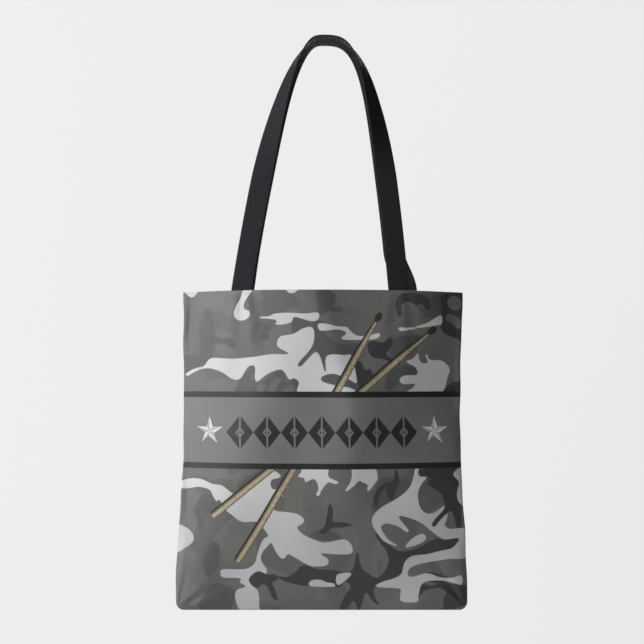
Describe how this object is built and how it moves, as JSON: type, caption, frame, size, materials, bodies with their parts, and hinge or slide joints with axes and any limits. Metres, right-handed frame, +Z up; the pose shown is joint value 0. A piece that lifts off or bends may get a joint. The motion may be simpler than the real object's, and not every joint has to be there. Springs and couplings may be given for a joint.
{
  "type": "tote bag",
  "caption": "Flat cloth tote bag without a gusset, printed in grey camouflage with a plain band, stars and crossed drumsticks, hanging by webbing handles.",
  "frame": {"origin": "the hanging point, under the handles where they lie over a hook", "axes": "+Z up, +X to the right seen from the printed front, which faces -Y"},
  "size_m": [0.3498, 0.078, 0.6905],
  "materials": {
    "printed_cloth": "matt woven polyester, printed",
    "lining": "unprinted inside of the same cloth",
    "webbing": "ribbed woven webbing",
    "thread": "spun thread"
  },
  "bodies": {
    "bag": {"left_side_seam": "lining", "right_side_seam": "lining", "bottom_seam": "lining", "left_overlock": "thread", "right_overlock": "thread", "bottom_overlock": "thread"},
    "front_panel": {"front_panel": "printed_cloth", "front_hem": "lining", "front_hem_stitching": "thread", "front_left_handle_end": "webbing", "front_right_handle_end": "webbing", "front_left_tack": "thread", "front_right_tack": "thread"},
    "back_panel": {"back_panel": "printed_cloth", "back_hem": "lining", "back_hem_stitching": "thread", "back_left_handle_end": "webbing", "back_right_handle_end": "webbing", "back_left_tack": "thread", "back_right_tack": "thread"},
    "front_handle": {"front_handle": "webbing"},
    "back_handle": {"back_handle": "webbing"}
  },
  "joints": [
    {"name": "front_panel_opening", "type": "hinge", "parent": "bag", "child": "front_panel", "pos_m": [0, 0, -0.686], "axis": [1, 0, 0], "range_deg": [0, 5]},
    {"name": "back_panel_opening", "type": "hinge", "parent": "bag", "child": "back_panel", "pos_m": [0, 0, -0.686], "axis": [-1, 0, 0], "range_deg": [0, 5]},
    {"name": "front_handle_swing", "type": "hinge", "parent": "front_panel", "child": "front_handle", "pos_m": [0, -0.0318, -0.302], "axis": [1, 0, 0], "range_deg": [0, 135]},
    {"name": "back_handle_swing", "type": "hinge", "parent": "back_panel", "child": "back_handle", "pos_m": [0, 0.0322, -0.302], "axis": [-1, 0, 0], "range_deg": [0, 135]}
  ]
}
